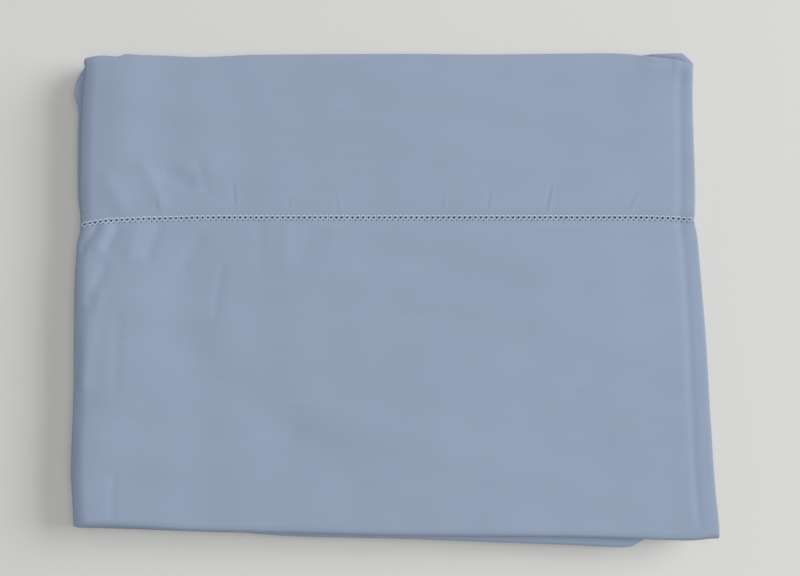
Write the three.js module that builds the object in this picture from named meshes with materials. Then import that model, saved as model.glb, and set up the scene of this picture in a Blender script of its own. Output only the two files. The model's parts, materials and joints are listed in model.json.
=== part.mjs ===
// Flat bed sheet with a hemstitched head end, folded flat for the linen cupboard.
//
// The cloth is folded in four across its width, which makes a strip of four plies, and the
// strip is folded in a zigzag into eight leaves. Leaf 1, on top, ends in the deep head hem.
// Leaf 8, at the bottom, ends in the narrow foot hem. The near folds (1|2, 3|4, 5|6, 7|8)
// and the far folds (2|3, 4|5, 6|7) are pieces of their own, because they bend as the
// leaves open.
//
// Millimetres. +X runs along the folds, +Y from the near edge to the head edge, +Z up. The
// origin is the middle of the package's footprint, on the surface that it lies on.

import * as THREE from 'three';

// The package
const leafCount = 8;
const leafPitch = 3.0;
const leftSide = -206.4;
const rightSide = 192;

// The two upper leaves are laid a little askew: below the hemstitch their right side leans
// outwards, by this much at the near edge
const flare = 14.4;
const flareFrom = 48.3;
const flareTo = -145;

// The y of each fold's outermost line, from fold 1|2 to fold 7|8, and of the two free ends.
// Each fold stands out at least as far as the mean of the next ones on its side, so that
// every leaf can swing over and lie flat beside the leaves below it.
const foldTips = [-153.3, 155.5, -158, 152.5, -158, 149, -153.3];
const headEnd = 155.06;
const footEnd = 145;

// The head edge and the hemstitch rise to the right, by this much for each millimetre of x
const headSlant = 0.0152;
const hemstitchSlant = 0.0107;

// A fold starts to bend this far behind its tip, where its four plies are pressed together
const foldDepth = 4;
const tipThickness = 0.75;

// Clearance between neighbouring pieces
const pieceGap = 0.3;

// The cloth, the doubled cloth of the head hem and the turned cloth of the foot hem
const cloth = { ply: 0.45, gap: 0.3 };
const headHemCloth = { ply: 0.75, gap: 0.15 };
const footHemCloth = { ply: 0.6, gap: 0.1 };

// The selvedges stop this far short of the right side fold
const selvedgeInset = 6;

// The foot hem, and the openwork row that joins the head hem to the cloth
const footHemDepth = 25;
const hemstitchMiddle = 48.3;
const hemstitchWidth = 5;
const hemstitchDrawIn = 2;

// How many straight steps make half a turn of a bend
const bendSteps = 4;

const leafHeight = 4 * cloth.ply + 3 * cloth.gap;

const colours = {
  cloth: { color: 0x92a1b8, roughness: 0.92 },
  hem: { color: 0x95a4bb, roughness: 0.9 },
  stitch: { color: 0xc9d2e2, roughness: 0.85 },
};

// The cross-section of four plies folded from one width of cloth, as points (x, height).
// The ply runs from one selvedge along the bottom, round the outer side fold on the left,
// back along the top, round the right side fold, and back again inside itself.
function fourPlySection(left, right, { ply, gap }) {
  const pitch = ply + gap;
  const half = ply / 2;
  const selvedge = right - selvedgeInset;
  const bends = [
    { x: left + half + 1.5 * pitch, y: half + 1.5 * pitch, r: 1.5 * pitch, from: -90, turn: -180 },
    { x: right - half - 0.5 * pitch, y: half + 2.5 * pitch, r: 0.5 * pitch, from: 90, turn: -180 },
    { x: left + half + 2.5 * pitch, y: half + 1.5 * pitch, r: 0.5 * pitch, from: 90, turn: 180 },
  ];
  const outside = [new THREE.Vector2(selvedge, 0)];
  const inside = [new THREE.Vector2(selvedge, ply)];
  for (const bend of bends) {
    const clockwise = bend.turn < 0;
    for (let step = 0; step <= bendSteps; step += 1) {
      const angle = THREE.MathUtils.degToRad(bend.from + (bend.turn * step) / bendSteps);
      const far = bend.r + half;
      const near = bend.r - half;
      const point = (r) => new THREE.Vector2(bend.x + r * Math.cos(angle), bend.y + r * Math.sin(angle));
      outside.push(point(clockwise ? far : near));
      inside.push(point(clockwise ? near : far));
    }
  }
  outside.push(new THREE.Vector2(selvedge, pitch + ply));
  inside.push(new THREE.Vector2(selvedge, pitch));
  const outline = [...outside, ...inside.reverse()];
  return THREE.ShapeUtils.isClockWise(outline) ? outline.reverse() : outline;
}

// The same section upside down, for the leaves that lie the other way up
function turnedOver(section, height) {
  return section.map((point) => new THREE.Vector2(point.x, height - point.y)).reverse();
}

// Where a point of the straight package comes to lie along X, in a straight leaf and in a
// leaf whose right side leans outwards
const straight = (x) => x;

function leaning(x, y) {
  const lean = THREE.MathUtils.clamp((flareFrom - y) / (flareFrom - flareTo), 0, 1);
  return x + (flare * lean * (x - leftSide)) / (rightSide - leftSide);
}

// A line across the package, given by its y at x = 0 and by how much y grows with x
const across = (y, slant = 0) => ({ y, slant });

// A closed body through rings of points that all follow one outline
function loft(outline, rings) {
  const count = outline.length;
  const points = rings.flat();
  let faces = [];
  for (let ring = 0; ring < rings.length - 1; ring += 1) {
    for (let i = 0; i < count; i += 1) {
      const a = ring * count + i;
      const b = ring * count + ((i + 1) % count);
      faces.push([a, b, b + count], [a, b + count, a + count]);
    }
  }
  const last = points.length - count;
  for (const [a, b, c] of THREE.ShapeUtils.triangulateShape(outline, [])) {
    faces.push([a, c, b], [last + a, last + b, last + c]);
  }
  const volume = faces.reduce((sum, [a, b, c]) => {
    const normal = new THREE.Vector3().crossVectors(points[b], points[c]);
    return sum + points[a].dot(normal);
  }, 0);
  if (volume < 0) {
    faces = faces.map(([a, b, c]) => [a, c, b]);
  }
  const geometry = new THREE.BufferGeometry().setFromPoints(points);
  geometry.setIndex(faces.flat());
  geometry.computeVertexNormals();
  return geometry;
}

// A flat run of plies between two lines, with one more ring where a right side starts to lean
function flatRun(section, from, to, baseZ, lean) {
  const stops = [from, to];
  if (lean === leaning && to.y > flareFrom && from.y < flareFrom) {
    stops.splice(1, 0, across(flareFrom));
  }
  const ringAt = (line) => section.map((point) => {
    const y = line.y + line.slant * point.x;
    return new THREE.Vector3(lean(point.x, y), y, baseZ + point.y);
  });
  return loft(section, stops.map(ringAt));
}

// The bend between two leaves. A ply at a height above the plane between the leaves follows
// half an ellipse round to the same depth below it, and every ply passes close to the hinge line.
function foldBend(section, tipY, planeZ, lean) {
  const inwards = tipY < 0 ? 1 : -1;
  const outermost = (leafPitch + leafHeight) / 2;
  const rings = [];
  for (let step = 0; step <= bendSteps; step += 1) {
    const angle = THREE.MathUtils.degToRad(-90 + (180 * step) / bendSteps);
    rings.push(section.map((point) => {
      const height = point.y + (leafPitch - leafHeight) / 2;
      const behindTip = tipThickness * (1 - height / outermost);
      const back = behindTip + (foldDepth - behindTip) * (1 - Math.cos(angle));
      const y = tipY + inwards * back;
      return new THREE.Vector3(lean(point.x, y), y, planeZ + height * Math.sin(angle));
    }));
  }
  return loft(section, rings);
}

const group = new THREE.Group();

function addPiece(name, geometry, look) {
  const mesh = new THREE.Mesh(geometry, new THREE.MeshStandardMaterial({ ...colours[look], metalness: 0 }));
  mesh.name = name;
  group.add(mesh);
}

const plies = fourPlySection(leftSide, rightSide, cloth);
const pliesTurned = turnedOver(plies, leafHeight);

const baseOf = (leaf) => (leafCount - leaf) * leafPitch;
const sectionOf = (leaf) => (leaf % 2 === 1 ? plies : pliesTurned);
const leanOf = (leaf) => (leaf <= 2 ? leaning : straight);

// Where the flat part of a leaf stops short of a fold
const behindFold = (tipY) => across(tipY - Math.sign(tipY) * (foldDepth + pieceGap));

// Leaf 1: cloth, hemstitch row and head hem
const rowLine = (offset) => across(hemstitchMiddle + offset, hemstitchSlant);
const rowHalf = hemstitchWidth / 2;
const rowSection = fourPlySection(leftSide + hemstitchDrawIn, rightSide - hemstitchDrawIn, cloth);
const hemSection = fourPlySection(leftSide, rightSide, headHemCloth);
const rowEnds = [rowLine(-rowHalf), rowLine(rowHalf)];
const hemEnds = [rowLine(rowHalf + pieceGap), across(headEnd, headSlant)];
const headClothEnds = [behindFold(foldTips[0]), rowLine(-rowHalf - pieceGap)];
addPiece('head_leaf_cloth', flatRun(plies, ...headClothEnds, baseOf(1), leaning), 'cloth');
addPiece('hemstitch_row', flatRun(rowSection, ...rowEnds, baseOf(1), straight), 'stitch');
addPiece('head_hem', flatRun(hemSection, ...hemEnds, baseOf(1), straight), 'hem');

// Leaves 2 to 7, between two folds each
for (let leaf = 2; leaf < leafCount; leaf += 1) {
  const ends = [behindFold(foldTips[leaf - 2]), behindFold(foldTips[leaf - 1])];
  ends.sort((a, b) => a.y - b.y);
  addPiece(`leaf_${leaf}_cloth`, flatRun(sectionOf(leaf), ...ends, baseOf(leaf), leanOf(leaf)), 'cloth');
}

// Leaf 8: cloth and foot hem
const footHemStart = footEnd - footHemDepth;
const footHemSection = turnedOver(fourPlySection(leftSide, rightSide, footHemCloth), leafHeight);
const footClothEnds = [behindFold(foldTips[leafCount - 2]), across(footHemStart - pieceGap)];
const footHemEnds = [across(footHemStart), across(footEnd)];
addPiece('foot_leaf_cloth', flatRun(pliesTurned, ...footClothEnds, 0, straight), 'cloth');
addPiece('foot_hem', flatRun(footHemSection, ...footHemEnds, 0, straight), 'hem');

// The folds between the leaves
for (let leaf = 1; leaf < leafCount; leaf += 1) {
  const planeZ = baseOf(leaf) - (leafPitch - leafHeight) / 2;
  const lean = leaf === 1 ? leaning : straight;
  addPiece(`fold_${leaf}_${leaf + 1}`, foldBend(sectionOf(leaf), foldTips[leaf - 1], planeZ, lean), 'cloth');
}

export default group;
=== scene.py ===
"""A hemstitched flat bed sheet, folded into a flat package of eight leaves of four plies.

The cloth is made leaf by leaf. Each leaf is one closed sheet that runs through its four plies
and their side folds, and it carries the bend that joins it to the leaf below. Lengths are
metres, in the CAD frame.
"""

import json
import math

import bpy
import numpy as np
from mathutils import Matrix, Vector


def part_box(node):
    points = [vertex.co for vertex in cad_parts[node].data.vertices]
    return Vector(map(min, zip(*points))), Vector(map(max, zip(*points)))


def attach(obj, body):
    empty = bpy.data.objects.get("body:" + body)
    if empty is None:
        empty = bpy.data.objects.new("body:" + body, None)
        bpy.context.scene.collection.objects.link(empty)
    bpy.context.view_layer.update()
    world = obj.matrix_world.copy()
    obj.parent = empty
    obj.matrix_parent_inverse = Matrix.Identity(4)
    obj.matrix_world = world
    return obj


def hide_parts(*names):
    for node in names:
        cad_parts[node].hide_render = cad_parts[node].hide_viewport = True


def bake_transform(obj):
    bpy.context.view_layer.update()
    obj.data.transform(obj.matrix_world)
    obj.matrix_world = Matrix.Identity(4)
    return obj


MM = 0.001
SEED = 7
rng = np.random.default_rng(SEED)

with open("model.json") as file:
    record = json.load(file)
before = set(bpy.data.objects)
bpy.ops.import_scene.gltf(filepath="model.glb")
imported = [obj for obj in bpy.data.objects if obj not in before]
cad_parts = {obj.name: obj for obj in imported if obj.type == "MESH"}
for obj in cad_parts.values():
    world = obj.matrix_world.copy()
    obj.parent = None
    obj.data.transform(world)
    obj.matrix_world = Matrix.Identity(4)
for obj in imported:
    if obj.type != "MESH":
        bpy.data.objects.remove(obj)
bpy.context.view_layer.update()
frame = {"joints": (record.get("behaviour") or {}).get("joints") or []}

# ---------------------------------------------------------------- places taken from the frame
LEAVES = 8
BODY = {1: "head_leaf", LEAVES: "foot_leaf", **{k: f"leaf_{k}" for k in range(2, LEAVES)}}
CLOTH_NODE = {1: "head_leaf_cloth", LEAVES: "foot_leaf_cloth"}
CLOTH_NODE.update({k: f"leaf_{k}_cloth" for k in range(2, LEAVES)})
joints = {joint["name"]: joint for joint in frame["joints"]}
FOLD_Y = {k: joints[f"fold_{k}_{k + 1}_opens"]["pos_m"][1] for k in range(1, LEAVES)}
FOLD_Z = {k: joints[f"fold_{k}_{k + 1}_opens"]["pos_m"][2] for k in range(1, LEAVES)}
BASE = {k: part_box(CLOTH_NODE[k])[0].z for k in range(1, LEAVES + 1)}
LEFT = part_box("leaf_3_cloth")[0].x
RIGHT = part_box("leaf_3_cloth")[1].x
FOOT_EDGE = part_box("foot_hem")[1].y
FOOT_HEM_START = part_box("foot_hem")[0].y

# The head edge and the hemstitch row rise a little to the right
HEAD_SLANT = 0.0152
ROW_SLANT = 0.0107
HEAD_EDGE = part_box("head_hem")[1].y - HEAD_SLANT * RIGHT
ROW_WIDTH = 5 * MM
ROW_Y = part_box("hemstitch_row")[1].y - ROW_WIDTH / 2 - ROW_SLANT * RIGHT

# ---------------------------------------------------------------- the cloth
# For the plain cloth and the two hems: from ply to ply, the cloth itself, and the CAD's ply
PLY_PITCH, PLY_THICK, CAD_PLY = 0.75 * MM, 0.34 * MM, 0.45 * MM
HEM_PITCH, HEM_THICK, CAD_HEM_PLY = 0.9 * MM, 0.66 * MM, 0.75 * MM
FOOT_HEM_PITCH, FOOT_HEM_THICK, CAD_FOOT_HEM_PLY = 0.7 * MM, 0.55 * MM, 0.6 * MM
SELVEDGE_INSET = 6 * MM

# Points along a ply that shows, along a hidden one, and round the large and small side folds
TOP_COLUMNS = 360
HIDDEN_COLUMNS = 60
OUTER_BEND_STEPS = 12
INNER_BEND_STEPS = 6
TOP_ROW_STEP = 1.5 * MM
HEM_ROW_STEP = 1.2 * MM
HIDDEN_ROW_STEP = 7 * MM
FOOT_HEM_ROW_STEP = 3 * MM
FEWEST_ROWS = 3

# The share of the top ply's swelling that the plies take part in, from the lowest to the top
UNDER_SHARE = 0.3
LIFT_SHARES = (0, 0.1, UNDER_SHARE, 1)

# The bend between two leaves: its depth, the depth of its tip, and how square it is
FOLD_DEPTH = 4 * MM
TIP_THICKNESS = 0.75 * MM
LEAF_GAP = 0.3 * MM
FOLD_SQUARENESS = 0.7
FOLD_TURNS = np.radians([75, 60, 45, 30, 15, 5, 0, -5, -15, -30, -45, -60, -75, -90])

# A free edge of the cloth is rounded, and never thinner than this share of its thickness
EDGE_SHARE = 0.3
END_SHARE = 0.35
END_TURNS = np.radians([10, 30, 55, 90])

# Faces that meet at more than this angle are shaded with a sharp edge between them
SHARP_ANGLE = math.radians(50)

# How many waves make a ripple, and what their sum is divided by to lie between about -1 and 1
WAVES, WAVES_SUM = 8, 3.2


def smooth(t):
    """From 0 to 1 as t goes from 0 to 1, level at both ends."""
    t = np.clip(t, 0, 1)
    return t * t * (3 - 2 * t)


def through(stations, at):
    """A smooth curve through (place, value) stations that never swings past their values."""
    places, values = np.array(sorted(stations)).T
    at = np.clip(at, places[0], places[-1])
    i = np.clip(np.searchsorted(places, at, side="right") - 1, 0, len(places) - 2)
    secants = np.diff(values) / np.diff(places)
    before, after = secants[:-1], secants[1:]
    even = before * after > 0
    slopes = np.zeros(len(places))
    slopes[1:-1][even] = 2 * (before * after)[even] / (before + after)[even]
    width = places[i + 1] - places[i]
    t = (at - places[i]) / width
    first = (2 * t**3 - 3 * t**2 + 1) * values[i] + (t**3 - 2 * t**2 + t) * width * slopes[i]
    second = (3 * t**2 - 2 * t**3) * values[i + 1] + (t**3 - t**2) * width * slopes[i + 1]
    return first + second


def ripple(x, y, size, seed):
    """Smooth uneven waves from about -1 to 1, with bumps of about the given size."""
    lowest, highest = (0, 0, 1.4), (math.pi, 2 * math.pi, 2.8)
    made_of = np.random.default_rng(seed).uniform(lowest, highest, (WAVES, 3))
    total = 0
    for turn, phase, stretch in made_of:
        reach = size * stretch / (2 * math.pi)
        total = total + np.sin((x * math.cos(turn) + y * math.sin(turn)) / reach + phase)
    return total / WAVES_SUM


class Plies:
    """The line that a width of cloth follows through its four plies, as points across the leaf.

    Each point has a place x, a height h over the leaf's base, the outer face's normal (nx, nh),
    the distance s along the cloth, and the share of a rise in the top ply that it takes part in.
    """

    def __init__(self, pitch, cad_ply, thick):
        half = cad_ply / 2
        self.thick = thick
        self.height = 3 * pitch + cad_ply
        selvedge = RIGHT - SELVEDGE_INSET
        outer_x = LEFT + half + 1.5 * pitch
        right_x = RIGHT - half - 0.5 * pitch
        inner_x = LEFT + half + 2.5 * pitch
        level = [half + n * pitch for n in range(4)]
        points = []
        points += run(selvedge, outer_x, level[0], HIDDEN_COLUMNS, -1)
        points += bend(
            outer_x, level[0] + 1.5 * pitch, 1.5 * pitch, -90, -270, OUTER_BEND_STEPS
        )
        points += run(outer_x, right_x, level[3], TOP_COLUMNS, 1)
        points += bend(right_x, level[3] - pitch / 2, pitch / 2, 90, -90, INNER_BEND_STEPS)
        points += run(right_x, inner_x, level[2], HIDDEN_COLUMNS, -1)
        points += bend(inner_x, level[2] - pitch / 2, pitch / 2, 90, 270, INNER_BEND_STEPS)
        points += run(inner_x, selvedge, level[1], HIDDEN_COLUMNS, 1)
        self.x, self.h, self.nx, self.nh = np.array(points).T
        self.s = np.concatenate([[0], np.cumsum(np.hypot(np.diff(self.x), np.diff(self.h)))])
        self.width = self.s[-1]
        self.fat = self.rounding(self.s) * self.rounding(self.width - self.s)
        self.share = np.interp(self.h, level, LIFT_SHARES)

    def rounding(self, distance):
        """How thick the cloth is near a free edge, which is rounded, as a share."""
        t = np.clip(distance / (self.thick / 2), 0, 1)
        return np.maximum(EDGE_SHARE, np.sqrt(1 - (1 - t) ** 2))

    def face(self, side, fat=1):
        """The x and h of one face's points: side is 1 for the outer face and -1 for the inner."""
        half = side * self.thick * self.fat * fat / 2
        return self.x + self.nx * half, self.h + self.nh * half


def run(start, end, height, columns, side):
    """A straight stretch of a ply, with extra points close to its ends."""
    xs = np.linspace(start, end, columns)
    step = xs[1] - xs[0]
    first = xs[0] + step * np.array([0.03, 0.2])
    last = xs[-1] - step * np.array([0.2, 0.03])
    return [(x, height, 0, side) for x in (xs[0], *first, *xs[1:-1], *last, xs[-1])]


def bend(x, height, radius, first, last, count):
    """A side fold: points round a circle, between two straight stretches."""
    turn = 1 if last > first else -1
    angles = np.radians(np.linspace(first, last, count + 1)[1:-1])
    return [
        (x + radius * math.cos(a), height + radius * math.sin(a),
         -turn * math.cos(a), -turn * math.sin(a))
        for a in angles
    ]


def shell(name, outer, inner, quads, uv):
    """A closed thin mesh from the points of its two faces and the quads that join them."""
    count = len(outer)
    starts, ends = quads.ravel(), np.roll(quads, -1, axis=1).ravel()
    single = ~np.isin(starts * count + ends, ends * count + starts)
    a, b = starts[single], ends[single]
    walls = np.stack([b, a, a + count, b + count], -1)
    faces = np.concatenate([quads, quads[:, ::-1] + count, walls])
    points = np.concatenate([outer, inner])
    p = points[faces]
    volume = (p[:, 0] * np.cross(p[:, 1], p[:, 2])).sum()
    volume += (p[:, 0] * np.cross(p[:, 2], p[:, 3])).sum()
    if volume < 0:
        faces = faces[:, ::-1]
    return mesh_object(name, points, faces, np.concatenate([uv, uv]))


def mesh_object(name, points, faces, uv):
    """An object made of four-sided faces, with smooth shading and the cloth's own UV places."""
    mesh = bpy.data.meshes.new(name)
    mesh.vertices.add(len(points))
    mesh.vertices.foreach_set("co", points.astype(np.float32).ravel())
    mesh.loops.add(faces.size)
    mesh.loops.foreach_set("vertex_index", faces.astype(np.int32).ravel())
    mesh.polygons.add(len(faces))
    mesh.polygons.foreach_set("loop_start", np.arange(0, faces.size, 4, dtype=np.int32))
    mesh.update(calc_edges=True)
    mesh.validate()
    mesh.shade_smooth()
    mesh.set_sharp_from_angle(angle=SHARP_ANGLE)
    layer = mesh.uv_layers.new(name="cloth")
    layer.data.foreach_set("uv", uv[faces.ravel()].astype(np.float32).ravel())
    return link(name, mesh)


def link(name, data):
    """A new object in the scene for a mesh, a light or a camera."""
    made = bpy.data.objects.new(name, data)
    bpy.context.scene.collection.objects.link(made)
    return made


def grid_quads(rows, columns):
    """The quads of a grid of points, counted row by row."""
    index = np.arange(rows * columns).reshape(rows, columns)
    corners = index[:-1, :-1], index[:-1, 1:], index[1:, 1:], index[1:, :-1]
    return np.stack(corners, -1).reshape(-1, 4)


# ---------------------------------------------------------------- the leaves' outlines
# Each leaf's left and right edge, as (y, x) stations in millimetres
EDGE_LEFT = {
    1: [(-150, -203.0), (-112, -205.3), (-70, -204.7), (0, -205.6), (29, -204.6), (40, -202.6),
        (48, -202.6), (62, -203.6), (104, -203.9), (119, -203.6), (128, -203.3), (136, -202.6),
        (143, -202.0), (149, -203.0), (155, -202.6)],
    2: [(-150, -203.0), (-80, -203.6), (30, -203.6), (42, -203.0), (62, -205.6), (104, -206.4),
        (116, -206.2), (122, -207.8), (127, -209.4), (135, -208.2), (140, -205.6),
        (142.5, -202.2), (150, -201.6)],
}
EDGE_RIGHT = {
    1: [(-153, 206.4), (-119, 203.5), (-68, 200.2), (-34, 198.4), (15, 194.7), (38, 192.6),
        (48, 190.9), (64, 191.2), (129, 189.5), (144, 189.6), (150, 190.0)],
    2: [(-153, 206.4), (-119, 202.6), (-34, 197.0), (15, 192.8), (50, 189.6), (150, 189.0)],
}
# The edges of the leaves inside the stack wander at random about these places
INNER_LEFT, INNER_RIGHT, INNER_WANDER = -203.6, 189.0, 1.3
INNER_NEAR, INNER_FAR, INNER_NEAR_LEFT = -148, 146, -203.0
SIDE_STATIONS = (-110, -60, -10, 40, 90, 130)


def add_inner_edges():
    """Adds the side edges of the third leaf and of those below it to the stations."""
    for leaf in range(3, LEAVES + 1):
        left, right = rng.uniform(-INNER_WANDER, INNER_WANDER, (2, len(SIDE_STATIONS)))
        EDGE_LEFT[leaf] = [
            (INNER_NEAR, INNER_NEAR_LEFT), *zip(SIDE_STATIONS, INNER_LEFT + left),
            (INNER_FAR, INNER_LEFT),
        ]
        EDGE_RIGHT[leaf] = [
            (INNER_NEAR, INNER_RIGHT), *zip(SIDE_STATIONS, INNER_RIGHT + right),
            (INNER_FAR, INNER_RIGHT),
        ]


add_inner_edges()

# How far each fold's edge lies beyond its hinge line, as (x, distance) stations in millimetres
FOLD_WANDER = {
    1: [(-203, -2.8), (-184, -3.2), (-127, -1.1), (-59, -0.2), (8, 0.7), (106, 0.4), (159, 1.3),
        (186, 1.9), (206, 0.4)],
    2: [(-205, -4.8), (-129, -4.4), (-60, -1.9), (0, -1.2), (120, -0.9), (192, -1.2)],
    3: [(-205, -6.4), (-110, -4.8), (-59, -2.0), (10, -1.2), (60, 0.2), (110, 1.4), (146, 2.6),
        (151, 2.2), (163, -3.2), (192, -3.8)],
    4: [(-205, -1.0), (-60, 0.2), (60, -0.8), (192, 0.2)],
    5: [(-205, -5.4), (-100, -3.4), (20, -3.2), (120, -1.8), (192, -3.0)],
    6: [(-205, 0.4), (-80, -0.8), (50, 0.3), (192, -1.2)],
    7: [(-205, -1.6), (-90, 0.4), (40, -0.9), (192, -0.3)],
}
# How far the head edge lies beyond its straight line, for the top ply and for the one under it
HEAD_WANDER_TOP = [(-206, -5.0), (-200, -2.6), (-190, -1.4), (-181, -2.1), (-174, -0.4),
                   (-166, -1.1), (-151, -1.5), (-129, -2.5), (-87, -1.1), (-42, -1.0), (3, -1.0),
                   (54, -1.7), (133, -1.4), (146, -1.9), (157, -3.3), (170, -5.0), (177, -5.9),
                   (182, -6.8), (187, -8.0), (190, -8.4)]
HEAD_WANDER_UNDER = [(-206, -5.4), (-190, -4.0), (-120, -3.6), (145, -3.0), (155, -2.7),
                     (166, -2.2), (176, -1.7), (182, -1.6), (186.5, -4.2), (190, -7.6)]
# How far the hemstitch row droops below its straight line
ROW_DROOP = [(-207, -5.9), (-195, -3.9), (-182, -2.4), (-150, -1.1), (-112, -0.4), (150, -0.5),
             (175, -1.0), (192, -2.0)]


def plan_x(leaf, x, y):
    """Where a point of the straight package lies in a leaf with uneven side edges."""
    left = through(EDGE_LEFT[leaf], y / MM) * MM
    right = through(EDGE_RIGHT[leaf], y / MM) * MM
    return left + (x - LEFT) * (right - left) / (RIGHT - LEFT)


def fold_line(fold, x):
    """The y of a fold's outermost line."""
    out = math.copysign(1, FOLD_Y[fold])
    return FOLD_Y[fold] + out * through(FOLD_WANDER[fold], x / MM) * MM


def behind_fold(fold, x):
    """The y at which a leaf's flat part meets a fold's bend."""
    return fold_line(fold, x) - math.copysign(FOLD_DEPTH, FOLD_Y[fold])


def leaf_start(leaf, x):
    """The y where a leaf's plain cloth begins: below the openwork, or after the fold above it."""
    if leaf == 1:
        return row_line(x) - ROW_WIDTH / 2
    return behind_fold(leaf - 1, x)


def row_line(x):
    """The y of the hemstitch row's middle."""
    return ROW_Y + ROW_SLANT * x + through(ROW_DROOP, x / MM) * MM


# ---------------------------------------------------------------- the top ply's surface
# Small tucks and soft folds as start, end, half width and height, in millimetres. A tuck is a
# ridge with a valley beside it; a soft fold is a ridge or, below zero, a valley.
TUCKS = [
    ((-153, 59), (-151.5, 51), 1.3, 0.45), ((-104, 71), (-102, 52), 1.3, 0.42),
    ((-68, 62), (-68, 52), 1.1, 0.30), ((-38, 63), (-37, 52), 1.1, 0.34),
    ((31, 65), (29, 52), 1.3, 0.26), ((61, 67), (58, 52), 1.2, 0.34),
    ((99.5, 70), (96, 52), 1.3, 0.52), ((154, 65), (149, 56), 1.5, 0.42),
]
SOFT_FOLDS = [
    ((-145, 74), (-134, 69), 6, -0.75), ((-162, 79), (-150, 56), 5, 0.55),
    ((-185, 70), (-176, 55), 6, 0.55), ((-127, 82), (-122, 66), 4, -0.35),
    ((-192, 39), (-200, 27), 3, -0.70), ((-185, 40), (-190, 28), 4, 0.55),
    ((-178, 38), (-184, 27), 3.4, -0.60), ((-166, 40), (-170, 24), 5, 0.50),
    ((-152, 40), (-158, 23), 4.2, -0.50), ((-126, 32), (-135, 16), 5, -0.40),
    ((-186, 14), (-194, -6), 4, -0.60), ((-111, 14), (-115, -14), 3.2, -0.30),
    ((-124, -47), (-66, -88), 13, -0.50), ((-66, -88), (-21, -125), 13, -0.40),
    ((-108, -30), (-30, -82), 18, 0.35), ((-176, -18), (-177, -60), 4, -0.30),
    ((-177, -118), (-178, -143), 3, -0.25), ((-190, -4), (-198, -60), 5, 0.50),
    ((-87, 42), (-86, 18), 4, -0.22), ((-56, 38), (-61, 18), 4, -0.16),
    ((-70, 40), (-72, 20), 4, 0.20), ((-40, 40), (-44, 24), 4, 0.16),
    ((161, 149.5), (175, 148.6), 2.6, -0.55),
]
# The head edge stands off the ply under it beside the far right corner, where that ply turns up
# into a lip: its height, where it begins beyond the head edge, and how far it takes to rise
LIFTED_CORNER = (164, 151), (187, 146), 7, 1.3
LIP_HEIGHT, LIP_GAP, LIP_RISE = 2.1, 0.3, 1.5
LIP_LEFT, LIP_LEFT_RISE = 156, 6
LIP_RIGHT, LIP_RIGHT_FALL = 190, 4
LIP_SHARE_RANGE = 0.1

# The top leaf's swelling in millimetres: in the middle, and what is added towards the left edge
# and in the near left part
SWELL, LEFT_SWELL, NEAR_LEFT_SWELL = 2.3, 2.6, 0.8
LEFT_SWELL_REACH = 90
NEAR_LEFT_FROM, NEAR_LEFT_RISE = -60, 60
# How it rises from each edge: the share it already has at the edge, and the reach of the rest.
# From the left edge it rises steeply at first and gently after that.
LEFT_STEEP_SHARE, LEFT_STEEP_REACH = 0.6, 10
LEFT_GENTLE_REACH, NEAR_LEFT_REACH = 36, 24
NEAR_LEFT_REACH_FROM, NEAR_LEFT_REACH_RISE = -40, 90
RIGHT_SHARE, RIGHT_REACH = 0.85, 3
NEAR_SHARE, NEAR_REACH = 0.6, 6
FAR_SHARE, FAR_REACH = 0.4, 22
# Uneven waves over the swelling, as height, size and seed
LEFT_WAVES, LEFT_WAVES_REACH = (0.55, 30, 15), 190
WIDE_WAVES = (0.5, 85, 42)
SMALL_WAVES = (0.16, 17, 81)
# The dip along the hemstitch row, and the groove along the right edge
ROW_DIP, ROW_DIP_REACH, ROW_DIP_END = 0.5, 3.6, 8
GROOVE_DEPTH, GROOVE_WIDTH, GROOVE_INSET = 0.36, 2.6, 10.5
GROOVE_SLANT, GROOVE_END = 60, 20
SOFT_FOLD_END = 6
# The share of its listed height that a tuck has, and how far it is from fading at its middle
TUCK_HEIGHT_SHARE, TUCK_FADE = 1.05, 1.3

# The leaves inside the stack are nearly flat
INNER_WAVE_HEIGHT, INNER_WAVE_SIZE, INNER_WAVE_SEED = 0.05 * MM, 45 * MM, 110


def crease(x, y, start, end, width, height, tuck=False):
    """The height of one soft fold or one tuck at the places x, y in millimetres."""
    along = np.array(end, float) - start
    t = np.clip(((x - start[0]) * along[0] + (y - start[1]) * along[1]) / (along @ along), 0, 1)
    dx, dy = x - start[0] - t * along[0], y - start[1] - t * along[1]
    near = np.exp(-((np.hypot(dx, dy) / width) ** 2))
    if not tuck:
        return height * near
    side = (dx * along[1] - dy * along[0]) / np.hypot(*along) / width
    return -TUCK_HEIGHT_SHARE * height * side * near * smooth(TUCK_FADE - abs(2 * t - 1))


def edge_rise(distance, reach):
    """From 0 at an edge to 1 at the reach, steepest at the edge."""
    return 1 - (1 - np.clip(distance / reach, 0, 1)) ** 2


def part_rise(distance, share, reach):
    """As edge_rise, but from a share at the edge."""
    return share + (1 - share) * edge_rise(distance, reach)


def waves(x, y, kind):
    """One of the kinds of uneven waves, in millimetres."""
    height, size, seed = kind
    return height * ripple(x, y, size, seed)


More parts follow.
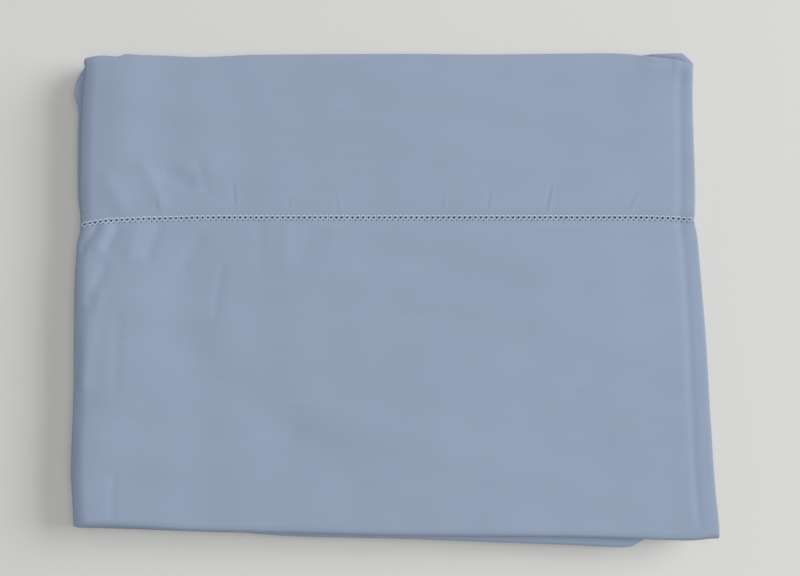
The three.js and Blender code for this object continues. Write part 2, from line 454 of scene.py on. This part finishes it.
def top_rise(x, y):
    """How far the top ply stands above its place in the straight stack."""
    x, y = x / MM, y / MM
    left = x - through(EDGE_LEFT[1], y)
    right = through(EDGE_RIGHT[1], y) - x
    near = y - fold_line(1, x * MM) / MM
    far = (HEAD_EDGE / MM + HEAD_SLANT * x) - y
    row = y - row_line(x * MM) / MM
    gentle_reach = NEAR_LEFT_REACH * smooth((NEAR_LEFT_REACH_FROM - y) / NEAR_LEFT_REACH_RISE)
    gentle = (1 - LEFT_STEEP_SHARE) * edge_rise(left, LEFT_GENTLE_REACH + gentle_reach)
    shape = LEFT_STEEP_SHARE * edge_rise(left, LEFT_STEEP_REACH) + gentle
    shape = shape * part_rise(right, RIGHT_SHARE, RIGHT_REACH)
    shape = shape * part_rise(near, NEAR_SHARE, NEAR_REACH)
    shape = shape * part_rise(far, FAR_SHARE, FAR_REACH)
    near_left = NEAR_LEFT_SWELL * smooth((NEAR_LEFT_FROM - y) / NEAR_LEFT_RISE)
    swell = SWELL + (LEFT_SWELL + near_left) * smooth(1 - left / LEFT_SWELL_REACH)
    swell = swell + waves(x, y, LEFT_WAVES) * smooth(1 - left / LEFT_WAVES_REACH)
    height = shape * (swell + waves(x, y, WIDE_WAVES) + waves(x, y, SMALL_WAVES))
    dip = np.exp(-((row / ROW_DIP_REACH) ** 2))
    height -= ROW_DIP * dip * smooth(left / ROW_DIP_END) * smooth(right / ROW_DIP_END)
    groove = np.exp(-(((right - GROOVE_INSET + y / GROOVE_SLANT) / GROOVE_WIDTH) ** 2))
    height -= GROOVE_DEPTH * groove * smooth(near / GROOVE_END) * smooth(far / GROOVE_END)
    for start, end, width, depth in TUCKS:
        height += crease(x, y, start, end, width, depth, tuck=True)
    for start, end, width, depth in SOFT_FOLDS:
        ends = smooth(left / SOFT_FOLD_END) * smooth(far / SOFT_FOLD_END)
        height += crease(x, y, start, end, width, depth) * ends
    height += crease(x, y, *LIFTED_CORNER)
    return np.maximum(height, 0) * MM


def head_line(stations, x):
    """The y of the head edge at the places x, for one of the wander lists."""
    return HEAD_EDGE + HEAD_SLANT * x + through(stations, x / MM) * MM


def under_lip(x, y, share):
    """The ply under the top one turns up where it shows beside the far right corner."""
    beyond = (y - head_line(HEAD_WANDER_TOP, x)) / MM
    lip = smooth((beyond - LIP_GAP) / LIP_RISE) * smooth((x / MM - LIP_LEFT) / LIP_LEFT_RISE)
    lip = lip * smooth((LIP_RIGHT - x / MM) / LIP_RIGHT_FALL)
    in_ply = np.exp(-(((share - UNDER_SHARE) / LIP_SHARE_RANGE) ** 2))
    return LIP_HEIGHT * MM * lip * in_ply


def lift(leaf, x, y, share):
    """The rise of a leaf's plies: large in the top leaf, slight in the ones inside the stack."""
    if leaf > 1:
        wave = ripple(x, y, INNER_WAVE_SIZE, INNER_WAVE_SEED + leaf)
        return INNER_WAVE_HEIGHT * np.clip(wave, -1, 1)
    return top_rise(x, y) * share + under_lip(x, y, share)


# ---------------------------------------------------------------- the leaves
MAIN = Plies(PLY_PITCH, CAD_PLY, PLY_THICK)
HEM = Plies(HEM_PITCH, CAD_HEM_PLY, HEM_THICK)
FOOT_HEM = Plies(FOOT_HEM_PITCH, CAD_FOOT_HEM_PLY, FOOT_HEM_THICK)


def flat_face(leaf, plies, side, y, fat):
    """One row of one face where a leaf lies flat: its points for the places y across the leaf."""
    x, h = plies.face(side, fat)
    x = plan_x(leaf, x, y)
    up = plies.height - h if leaf % 2 == 0 else h
    return np.stack([x, y, BASE[leaf] + up + lift(leaf, x, y, plies.share)], -1)


def fold_face(fold, side, turn):
    """One row of one face in the bend between leaf fold and the leaf below: turn is its angle."""
    x, h = MAIN.face(side)
    out = math.copysign(1, FOLD_Y[fold])
    reach = (h if fold % 2 else MAIN.height - h) + LEAF_GAP / 2
    behind = TIP_THICKNESS * (1 - reach / (MAIN.height + LEAF_GAP / 2))
    level = math.copysign(abs(math.sin(turn)) ** FOLD_SQUARENESS, turn)
    back = behind + (FOLD_DEPTH - behind) * (1 - math.cos(turn) ** FOLD_SQUARENESS)
    up = (1 + level) / 2
    row_y = fold_line(fold, x) - out * back
    upper, lower = plan_x(fold, x, row_y), plan_x(fold + 1, x, row_y)
    x = lower + (upper - lower) * up
    y = fold_line(fold, x) - out * back
    z = FOLD_Z[fold] + reach * level
    if fold == 1:
        z = z + max(0, level) * lift(1, x, y, MAIN.share)
    return np.stack([x, y, z], -1)


def cloth_uv(plies, rows):
    """Places on the flat cloth in metres: s along its width, t along its length."""
    s = np.tile(plies.s, len(rows))
    return np.stack([s, np.repeat(rows, len(plies.s))], -1)


def leaf_sheet(leaf, t_start):
    """A leaf's plain cloth down to the fold below it, and round that fold."""
    row_x = plan_x(leaf, MAIN.x, np.full_like(MAIN.x, leaf_start(leaf, 0)))
    first, last = leaf_start(leaf, row_x), behind_fold(leaf, row_x)
    length = float(np.mean(np.abs(last - first)))
    row_step = TOP_ROW_STEP if leaf == 1 else HIDDEN_ROW_STEP
    shares = np.linspace(0, 1, max(FEWEST_ROWS, round(length / row_step)) + 1)
    bend_length = math.pi / 2 * (FOLD_DEPTH + MAIN.height / 2)
    faces = []
    for side in (1, -1):
        rows = [flat_face(leaf, MAIN, side, first + (last - first) * t, 1) for t in shares]
        rows += [fold_face(leaf, side, turn) for turn in FOLD_TURNS]
        faces.append(np.concatenate(rows))
    turned = (math.pi / 2 - FOLD_TURNS) / math.pi
    path = np.concatenate([shares * length, length + turned * bend_length])
    quads = grid_quads(len(path), len(MAIN.x))
    made = shell(f"sheet_{leaf}", *faces, quads, cloth_uv(MAIN, t_start + path))
    return made, t_start + path[-1]


def flat_sheet(name, leaf, plies, start_y, end_y, row_step, t_start, open_start, open_end):
    """Cloth that lies flat between two lines; an open end is a rounded edge of the cloth."""
    length = float(np.mean(np.abs(end_y - start_y)))
    shares = np.linspace(0, 1, max(FEWEST_ROWS, round(length / row_step)) + 1)
    end_shares = (np.sin(END_TURNS) - np.sin(END_TURNS[0])) * plies.thick / 2 / length
    end_fat = np.maximum(END_SHARE, np.sin(END_TURNS))
    fat = np.ones_like(shares)
    if open_start:
        shares = np.concatenate([end_shares, shares[1:]])
        fat = np.concatenate([end_fat, fat[1:]])
    if open_end:
        shares = np.concatenate([shares[:-1], 1 - end_shares[::-1]])
        fat = np.concatenate([fat[:-1], end_fat[::-1]])
    faces = []
    for side in (1, -1):
        rows = [
            flat_face(leaf, plies, side, start_y + (end_y - start_y) * t, f)
            for t, f in zip(shares, fat)
        ]
        faces.append(np.concatenate(rows))
    path = t_start + shares * length
    quads = grid_quads(len(shares), len(plies.x))
    return shell(name, *faces, quads, cloth_uv(plies, path)), path[-1]


# ---------------------------------------------------------------- the hemstitch row
# Large holes, and small ones below and between them: half width, half height, and place across
# the row. The sizes vary at random by up to a share.
HOLE_PITCH = 3.46 * MM
HOLE_SIZE, HOLE_T = (1.04 * MM, 0.74 * MM), 0.25 * MM
WIDTH_VARIES, HEIGHT_VARIES = 0.3, 0.25
SMALL_HOLE_SIZE, SMALL_HOLE_T = (0.42 * MM, 0.28 * MM), -1.45 * MM
SMALL_HEIGHT_VARIES = 0.3
CELL_SPLIT = -0.95 * MM
HOLES = int(MAIN.width / HOLE_PITCH)
CELL_WIDTH = MAIN.width / HOLES
WELD = 0.002 * MM

# The scallop over each hole and the zigzag below them: half width as a share of the pitch, where
# it begins above the hole's middle, its height, and the thread's radius
THREAD = 0.22 * MM
SCALLOP_WIDTH, SCALLOP_T, SCALLOP_HEIGHT = 0.42, 0.45 * MM, 0.95 * MM
ZIGZAG_WIDTH, ZIGZAG_T, ZIGZAG_HEIGHT, ZIGZAG_THREAD = 0.46, -1.6 * MM, 1.75 * MM, 0.7 * THREAD
ZIGZAG_HUMP = 0.08 * MM
SCALLOP_TURNS, SCALLOP_LIE = (12, 168), 0.4 * THREAD
THREAD_STEPS = 9
THREAD_VARIES = (0.85, 1.1)
# Where across the row the cloth, and the scallops on it, rise to the hem's height
CLOTH_RISE, SCALLOP_RISE = 0.3, 0.7
NORMAL_STEP = 0.2 * MM


def row_point(s, t, off):
    """A point of the hemstitch row: s along the cloth, t across the row, off along its normal."""
    at = np.interp(s, MAIN.s, np.arange(len(MAIN.s)))
    index = np.arange(len(MAIN.s))
    mix = np.clip(t / ROW_WIDTH + 0.5, 0, 1)

    def along(name):
        low = np.interp(at, index, getattr(MAIN, name))
        return low + (np.interp(at, index, getattr(HEM, name)) - low) * mix

    x, h = along("x") + along("nx") * off, along("h") + along("nh") * off
    start_x = plan_x(1, x, np.full_like(x, ROW_Y))
    y = row_line(start_x) + t
    x = plan_x(1, x, y)
    return np.stack([x, y, BASE[1] + h + lift(1, x, y, along("share"))], -1)


def hole_cell(points, quads, centre, low, high, hole, shape):
    """Adds one cell of cloth round one hole to the row's flat pattern."""
    s0, s1 = centre - CELL_WIDTH / 2, centre + CELL_WIDTH / 2
    quarter = [s0 + CELL_WIDTH * n / 4 for n in range(5)]
    third = [low + (high - low) * n / 3 for n in range(4)]
    loop = [(s, low) for s in quarter] + [(s1, t) for t in third[1:3]]
    loop += [(s, high) for s in reversed(quarter)] + [(s0, t) for t in third[2:0:-1]]
    base = len(points)
    rim = []
    for s, t in loop:
        turn = math.atan2((t - hole) / (high - low), (s - centre) / CELL_WIDTH)
        rim.append((centre + shape[0] * math.cos(turn), hole + shape[1] * math.sin(turn)))
    middle = [((a + c) / 2, (b + d) / 2) for (a, b), (c, d) in zip(loop, rim)]
    points += loop + middle + rim
    n = len(loop)
    for ring in (0, 1):
        for i in range(n):
            j = (i + 1) % n
            a = base + ring * n
            quads.append((a + i, a + j, a + n + j, a + n + i))


def hemstitch_cloth(t_start):
    """The strip of cloth whose cross threads are drawn together into a row of holes."""
    points, quads = [], []
    for n in range(HOLES):
        centre = (n + 0.5) * CELL_WIDTH
        high = HOLE_SIZE[1] * (1 - HEIGHT_VARIES * rng.random())
        shape = (HOLE_SIZE[0] * (1 - WIDTH_VARIES * rng.random()), high)
        hole_cell(points, quads, centre, CELL_SPLIT, ROW_WIDTH / 2, HOLE_T, shape)
    for n in range(HOLES - 1):
        high = SMALL_HOLE_SIZE[1] * (1 - SMALL_HEIGHT_VARIES * rng.random())
        shape = (SMALL_HOLE_SIZE[0], high)
        centre = (n + 1) * CELL_WIDTH
        hole_cell(points, quads, centre, -ROW_WIDTH / 2, CELL_SPLIT, SMALL_HOLE_T, shape)
    for s0 in (0, MAIN.width - CELL_WIDTH / 2):
        end_steps = [s0 + CELL_WIDTH * n / 4 for n in range(3)]
        base = len(points)
        heights = [-ROW_WIDTH / 2 + (CELL_SPLIT + ROW_WIDTH / 2) * n / 3 for n in range(4)]
        points += [(s, t) for t in heights for s in end_steps]
        quads += (base + grid_quads(4, 3)).tolist()
    points, quads = np.array(points), np.array(quads)
    keys = np.round(points / WELD).astype(np.int64)
    _, first, index = np.unique(keys, axis=0, return_index=True, return_inverse=True)
    points, quads = points[first], index.ravel()[quads]
    s, t = points.T
    thick = PLY_THICK + (HEM_THICK - PLY_THICK) * smooth(t / ROW_WIDTH + CLOTH_RISE)
    half = thick / 2 * np.interp(s, MAIN.s, MAIN.fat)
    uv = np.stack([s, t_start + t], -1)
    return shell("hemstitch_cloth", row_point(s, t, half), row_point(s, t, -half), quads, uv)


# How many sides a thread has, and its radius at the two ends as a share of the rest
THREAD_SIDES, THREAD_END = 6, 0.35


def tube(points, normals, radius):
    """The points and faces of a closed round thread along a path, thin at its two ends."""
    along = np.gradient(points, axis=0)
    along /= np.linalg.norm(along, axis=1)[:, None]
    across = np.cross(along, normals)
    across /= np.linalg.norm(across, axis=1)[:, None]
    lifted = np.cross(across, along)
    radii = np.full((len(points), 1), radius)
    radii[0] = radii[-1] = THREAD_END * radius
    rings = []
    for n in range(THREAD_SIDES):
        a = 2 * math.pi * n / THREAD_SIDES
        rings.append(points + (lifted * math.sin(a) + across * math.cos(a)) * radii)
    made = np.stack(rings, 1).reshape(-1, 3)
    faces = []
    for i in range(len(points) - 1):
        ring, after = i * THREAD_SIDES, (i + 1) * THREAD_SIDES
        for n in range(THREAD_SIDES):
            m = (n + 1) % THREAD_SIDES
            faces.append((ring + n, ring + m, after + m, after + n))
    first = range(THREAD_SIDES)
    last = range(len(made) - THREAD_SIDES, len(made))
    return made, [*faces, tuple(reversed(first)), tuple(last)]


def threads(name, paths, radii):
    """One mesh of many short threads, whose radii take turns; a path is points and normals."""
    points, faces, total = [], [], 0
    for n, (path, normals) in enumerate(paths):
        made, tube_faces = tube(path, normals, radii[n % len(radii)])
        points.append(made)
        faces += [tuple(total + v for v in face) for face in tube_faces]
        total += len(made)
    points = np.concatenate(points)
    mesh = bpy.data.meshes.new(name)
    mesh.from_pydata(points.tolist(), [], faces)
    mesh.shade_smooth()
    return link(name, mesh)


def hemstitch_threads():
    """A scallop over each hole, and a zigzag that runs from between the holes to below them."""
    paths = []
    turns = np.radians(np.linspace(*SCALLOP_TURNS, THREAD_STEPS))
    across = np.linspace(-1, 1, THREAD_STEPS)
    for n in range(HOLES):
        centre = (n + 0.5) * CELL_WIDTH
        if not CELL_WIDTH < centre < MAIN.width - CELL_WIDTH:
            continue
        grow = rng.uniform(*THREAD_VARIES)
        s = centre - np.cos(turns) * HOLE_PITCH * SCALLOP_WIDTH
        t = HOLE_T + SCALLOP_T + np.sin(turns) * SCALLOP_HEIGHT * grow
        off = HEM_THICK / 2 * smooth(t / ROW_WIDTH + SCALLOP_RISE) + SCALLOP_LIE
        paths.append(thread_path(s, t, off))
        s = centre + across * HOLE_PITCH * ZIGZAG_WIDTH
        t = HOLE_T + ZIGZAG_T * grow + np.abs(across) * ZIGZAG_HEIGHT * grow
        off = PLY_THICK / 2 + ZIGZAG_THREAD + ZIGZAG_HUMP * np.cos(across * math.pi)
        paths.append(thread_path(s, t, off))
    return threads("hemstitch_thread", paths, (THREAD, ZIGZAG_THREAD))


def thread_path(s, t, off):
    """The points of a thread that lies on the row, and the cloth's normals there."""
    points = row_point(s, t, off)
    normals = points - row_point(s, t, off - NORMAL_STEP)
    return points, normals / np.linalg.norm(normals, axis=1)[:, None]


# The foot hem's stitches: length, pitch and thread, and how far inside the hem's edge they run
STITCH_LENGTH, STITCH_PITCH, STITCH_THREAD = 2.3 * MM, 3.0 * MM, 0.13 * MM
STITCH_INSET = 1.6 * MM
STITCH_HUMP = np.array([-0.1, 0.06, 0.09, 0.06, -0.1]) * MM


def foot_hem_stitches():
    """The lockstitch that holds the foot hem, as short stitches along the hem's inner edge."""
    paths = []
    y = FOOT_HEM_START + STITCH_INSET
    for n in range(int(FOOT_HEM.width / STITCH_PITCH) - 2):
        s = (n + 1) * STITCH_PITCH + np.linspace(0, STITCH_LENGTH, len(STITCH_HUMP))
        for side in (1, -1):
            off = side * (FOOT_HEM_THICK / 2 + STITCH_HUMP)
            nx = np.interp(s, FOOT_HEM.s, FOOT_HEM.nx)
            nh = np.interp(s, FOOT_HEM.s, FOOT_HEM.nh)
            x = np.interp(s, FOOT_HEM.s, FOOT_HEM.x) + nx * off
            h = np.interp(s, FOOT_HEM.s, FOOT_HEM.h) + nh * off
            places = np.full_like(s, y)
            z = BASE[LEAVES] + FOOT_HEM.height - h
            points = np.stack([plan_x(LEAVES, x, places), places, z], -1)
            normals = side * np.stack([nx, 0 * nx, -nh], -1)
            paths.append((points, normals))
    return threads("foot_hem_stitching", paths, (STITCH_THREAD,))


# ---------------------------------------------------------------- materials
def nodes_of(name):
    """A new material with its node tree and its shader."""
    material = bpy.data.materials.new(name)
    material.use_nodes = True
    tree = material.node_tree
    return material, tree, tree.nodes["Principled BSDF"]


def node(tree, kind, inputs=(), **settings):
    """A new node; an input is another node's socket to link or a value to set."""
    made = tree.nodes.new(kind)
    for key, value in settings.items():
        setattr(made, key, value)
    for key, value in dict(inputs).items():
        if isinstance(value, bpy.types.NodeSocket):
            tree.links.new(value, made.inputs[key])
        else:
            made.inputs[key].default_value = value
    return made


CLOTH_COLOUR = (0.300, 0.366, 0.492, 1)
CLOTH_DEEPER = (0.278, 0.343, 0.466, 1)
THREAD_COLOUR = (0.74, 0.81, 0.95, 1)
THREAD_DEEPER = (0.60, 0.68, 0.84, 1)
FLOOR_COLOUR = (0.662, 0.663, 0.640, 1)
FLOOR_DEEPER = (0.640, 0.645, 0.622, 1)
# From thread to thread, their height in the bump, and the wave texture's radians to the unit
WEAVE_PITCH, WEAVE_HEIGHT, BAND_RADIANS = 0.36 * MM, 0.5, 20


def cloth_material(name):
    """Plain-weave cotton: threads both ways, thicker slubs here and there, faint cloudiness."""
    material, tree, shader = nodes_of(name)
    uv = node(tree, "ShaderNodeUVMap", uv_map="cloth").outputs["UV"]
    bands = []
    for direction in ("X", "Y"):
        wave = node(tree, "ShaderNodeTexWave", {
            "Vector": uv, "Scale": math.pi / BAND_RADIANS / WEAVE_PITCH, "Distortion": 1.2,
            "Detail": 1.5, "Detail Scale": 2.0,
        }, wave_type="BANDS", bands_direction=direction)
        bands.append(wave.outputs["Fac"])
    over = node(tree, "ShaderNodeMath", {0: bands[0], 1: bands[1]}, operation="MAXIMUM")
    stretch_x = node(tree, "ShaderNodeMapping", {"Vector": uv, "Scale": (22, 900, 1)})
    slub = node(tree, "ShaderNodeTexNoise", {
        "Vector": stretch_x.outputs["Vector"], "Scale": 1.0, "Detail": 3.0, "Roughness": 0.6,
    }).outputs["Fac"]
    stretch_y = node(tree, "ShaderNodeMapping", {"Vector": uv, "Scale": (900, 30, 1)})
    warp = node(tree, "ShaderNodeTexNoise", {
        "Vector": stretch_y.outputs["Vector"], "Scale": 1.0, "Detail": 2.0, "Roughness": 0.5,
    }).outputs["Fac"]
    cloud = node(tree, "ShaderNodeTexNoise", {
        "Vector": uv, "Scale": 26.0, "Detail": 3.0, "Roughness": 0.55,
    }).outputs["Fac"]
    slub_share = node(tree, "ShaderNodeMapRange", {
        "Value": slub, "From Min": 0.3, "From Max": 0.7, "To Min": 0.0, "To Max": 0.62,
    }).outputs["Result"]
    cloud_share = node(tree, "ShaderNodeMapRange", {
        "Value": cloud, "From Min": 0.3, "From Max": 0.7, "To Min": 0.0, "To Max": 0.38,
    }).outputs["Result"]
    share = node(tree, "ShaderNodeMath", {0: slub_share, 1: cloud_share}, operation="ADD")
    mix = node(tree, "ShaderNodeMix", {
        "Factor": share.outputs["Value"], "A": CLOTH_DEEPER, "B": CLOTH_COLOUR,
    }, data_type="RGBA")
    weave_share = node(tree, "ShaderNodeMapRange", {
        "Value": over.outputs["Value"], "From Min": 0.3, "From Max": 1.0,
        "To Min": 0.9, "To Max": 1.02,
    }).outputs["Result"]
    woven = node(tree, "ShaderNodeMix", {
        "Factor": 1.0, "A": mix.outputs["Result"], "B": weave_share,
    }, data_type="RGBA", blend_type="MULTIPLY")
    tree.links.new(woven.outputs["Result"], shader.inputs["Base Color"])
    height = node(tree, "ShaderNodeMath", {0: over.outputs["Value"], 1: WEAVE_HEIGHT},
                  operation="MULTIPLY")
    fibre = node(tree, "ShaderNodeMath", {0: slub, 1: warp}, operation="ADD")
    heights = node(tree, "ShaderNodeMath", {
        0: height.outputs["Value"], 1: fibre.outputs["Value"],
    }, operation="ADD")
    bump = node(tree, "ShaderNodeBump", {
        "Strength": 0.22, "Distance": 0.06 * MM, "Height": heights.outputs["Value"],
    })
    tree.links.new(bump.outputs["Normal"], shader.inputs["Normal"])
    rough = node(tree, "ShaderNodeMapRange", {
        "Value": slub, "To Min": 0.78, "To Max": 0.92,
    }).outputs["Result"]
    tree.links.new(rough, shader.inputs["Roughness"])
    shader.inputs["Sheen Weight"].default_value = 0.12
    shader.inputs["Sheen Roughness"].default_value = 0.45
    shader.inputs["Specular IOR Level"].default_value = 0.25
    return material


def thread_material():
    """Mercerised cotton thread, twisted, with a slight lustre."""
    material, tree, shader = nodes_of("hemstitch_thread")
    place = node(tree, "ShaderNodeTexCoord").outputs["Object"]
    twist = node(tree, "ShaderNodeTexWave", {
        "Vector": place, "Scale": 420.0, "Distortion": 2.5, "Detail": 2.0, "Detail Scale": 1.5,
    }, wave_type="BANDS", bands_direction="DIAGONAL").outputs["Fac"]
    colour = node(tree, "ShaderNodeMix", {
        "Factor": twist, "A": THREAD_DEEPER, "B": THREAD_COLOUR,
    }, data_type="RGBA")
    tree.links.new(colour.outputs["Result"], shader.inputs["Base Color"])
    bump = node(tree, "ShaderNodeBump", {
        "Strength": 0.4, "Distance": 0.03 * MM, "Height": twist,
    })
    tree.links.new(bump.outputs["Normal"], shader.inputs["Normal"])
    rough = node(tree, "ShaderNodeMapRange", {"Value": twist, "To Min": 0.42, "To Max": 0.58})
    tree.links.new(rough.outputs["Result"], shader.inputs["Roughness"])
    shader.inputs["Sheen Weight"].default_value = 0.2
    return material


def floor_material():
    """A plain pale surface with a faint unevenness."""
    material, tree, shader = nodes_of("floor")
    place = node(tree, "ShaderNodeTexCoord").outputs["Object"]
    cloud = node(tree, "ShaderNodeTexNoise", {
        "Vector": place, "Scale": 1.6, "Detail": 2.0, "Roughness": 0.4,
    }).outputs["Fac"]
    colour = node(tree, "ShaderNodeMix", {
        "Factor": cloud, "A": FLOOR_DEEPER, "B": FLOOR_COLOUR,
    }, data_type="RGBA")
    tree.links.new(colour.outputs["Result"], shader.inputs["Base Color"])
    rough = node(tree, "ShaderNodeMapRange", {"Value": cloud, "To Min": 0.72, "To Max": 0.82})
    tree.links.new(rough.outputs["Result"], shader.inputs["Roughness"])
    return material


# ---------------------------------------------------------------- the stage
FLOOR_HALF = 6.0
FLOOR_DROP = 0.2 * MM
CAMERA_TARGET = Vector((2.71, 3.28, 22.5)) * MM
CAMERA_AZIMUTH, CAMERA_ELEVATION = math.radians(0.58), math.radians(87)
CAMERA_DISTANCE = 0.853
CAMERA_LENS, CAMERA_SENSOR = 60, 36
# Name, place, size in metres and power in watts
LIGHTS = [
    ("key", (4.8, 1.5, 2.7), 3.8, 302),
    ("overhead", (0.3, -0.1, 3.4), 1.9, 52),
]
SKY_COLOUR, SKY_STRENGTH = (1.0, 1.0, 0.99, 1), 0.20


def add_floor():
    """The surface that the package lies on."""
    corners = [(-1, -1), (1, -1), (1, 1), (-1, 1)]
    mesh = bpy.data.meshes.new("floor")
    mesh.from_pydata([(x * FLOOR_HALF, y * FLOOR_HALF, 0) for x, y in corners], [], [(0, 1, 2, 3)])
    mesh.materials.append(floor_material())
    floor = link("floor", mesh)
    floor.location.z = -FLOOR_DROP


def add_lights():
    """A large window light low on the right, a soft one above, and a weak even sky."""
    for name, place, size, power in LIGHTS:
        light = bpy.data.lights.new(name, "AREA")
        light.shape, light.size, light.energy = "SQUARE", size, power
        made = link(name, light)
        made.location = place
        made.rotation_euler = (-Vector(place)).to_track_quat("-Z", "Y").to_euler()
    world = bpy.data.worlds.new("world")
    world.use_nodes = True
    background = world.node_tree.nodes["Background"]
    background.inputs["Color"].default_value = SKY_COLOUR
    background.inputs["Strength"].default_value = SKY_STRENGTH
    bpy.context.scene.world = world


def add_camera():
    """A view from nearly straight above, with the near edge at the bottom."""
    level = math.cos(CAMERA_ELEVATION)
    back = Vector((
        math.sin(CAMERA_AZIMUTH) * level,
        -math.cos(CAMERA_AZIMUTH) * level,
        math.sin(CAMERA_ELEVATION),
    ))
    data = bpy.data.cameras.new("camera")
    data.lens, data.sensor_width = CAMERA_LENS, CAMERA_SENSOR
    camera = link("camera", data)
    camera.location = CAMERA_TARGET + back * CAMERA_DISTANCE
    camera.rotation_mode = "QUATERNION"
    camera.rotation_quaternion = (-back).to_track_quat("-Z", "Y")
    bpy.context.scene.camera = camera


# ---------------------------------------------------------------- the whole sheet
# The heights in the folded hem between which the head edge goes from the under plies' to the top's
HEAD_NEAR_Y = 150 * MM
HEAD_EDGE_CHANGE = (0.63 * HEM.height, 0.89 * HEM.height)
FOOT_EDGE_INSET, FOOT_WAVE_HEIGHT = 1.2 * MM, 0.4 * MM
FOOT_WAVE_SIZE, FOOT_WAVE_SEED = 60 * MM, 33


def head_end():
    """The head edge, point by point along the width of the cloth."""
    x = plan_x(1, HEM.x, np.full_like(HEM.x, HEAD_NEAR_Y))
    top, under = head_line(HEAD_WANDER_TOP, x), head_line(HEAD_WANDER_UNDER, x)
    return under + (top - under) * smooth(np.interp(HEM.h, HEAD_EDGE_CHANGE, (0, 1)))


def foot_end():
    """The foot edge, point by point along the width of the cloth."""
    wave = np.clip(ripple(FOOT_HEM.x, 0 * FOOT_HEM.x, FOOT_WAVE_SIZE, FOOT_WAVE_SEED), -1, 1)
    return FOOT_EDGE - FOOT_EDGE_INSET + FOOT_WAVE_HEIGHT * wave


def dress(piece, material):
    """Gives a piece its material."""
    piece.data.materials.append(material)


def build():
    sheet_cloth, hem_cloth = cloth_material("sheet_cloth"), cloth_material("hem_cloth")
    thread = thread_material()

    hem_start = row_line(plan_x(1, HEM.x, np.full_like(HEM.x, ROW_Y))) + ROW_WIDTH / 2
    head_hem, reached = flat_sheet(
        "head_hem_cloth", 1, HEM, head_end(), hem_start, HEM_ROW_STEP, 0, True, False
    )
    openwork = hemstitch_cloth(reached + ROW_WIDTH / 2)
    stitching = hemstitch_threads()
    sheets, lengths = {}, {}
    reached += ROW_WIDTH
    for leaf in range(1, LEAVES):
        before = reached
        sheets[leaf], reached = leaf_sheet(leaf, reached)
        lengths[leaf] = reached - before
    foot_x = plan_x(LEAVES, MAIN.x, np.full_like(MAIN.x, FOOT_EDGE))
    before = reached
    sheets[LEAVES], reached = flat_sheet(
        f"sheet_{LEAVES}", LEAVES, MAIN, leaf_start(LEAVES, foot_x),
        np.full_like(foot_x, FOOT_HEM_START), HIDDEN_ROW_STEP, reached, False, False,
    )
    lengths[LEAVES] = reached - before
    foot_hem, _ = flat_sheet(
        "foot_hem_cloth", LEAVES, FOOT_HEM, np.full_like(FOOT_HEM.x, FOOT_HEM_START),
        foot_end(), FOOT_HEM_ROW_STEP, reached, True, True,
    )
    foot_stitching = foot_hem_stitches()

    for leaf, sheet in sheets.items():
        dress(sheet, sheet_cloth)
        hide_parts(CLOTH_NODE[leaf])
        if leaf < LEAVES:
            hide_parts(f"fold_{leaf}_{leaf + 1}")
            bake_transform(sheet)
    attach(sheets[LEAVES], BODY[LEAVES])
    for piece, material, slot, body in (
        (head_hem, hem_cloth, "hem_cloth", BODY[1]),
        (openwork, sheet_cloth, "sheet_cloth", BODY[1]),
        (stitching, thread, "hemstitch_thread", BODY[1]),
        (foot_hem, hem_cloth, "hem_cloth", BODY[LEAVES]),
        (foot_stitching, thread, "hemstitch_thread", BODY[LEAVES]),
    ):
        dress(piece, material)
        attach(piece, body)
    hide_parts("head_hem")
    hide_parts("hemstitch_row")
    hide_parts("foot_hem")

    hem_length = float(np.mean(head_end() - hem_start))


build()
add_floor()
add_lights()
add_camera()
bpy.context.scene.view_settings.view_transform = "Standard"
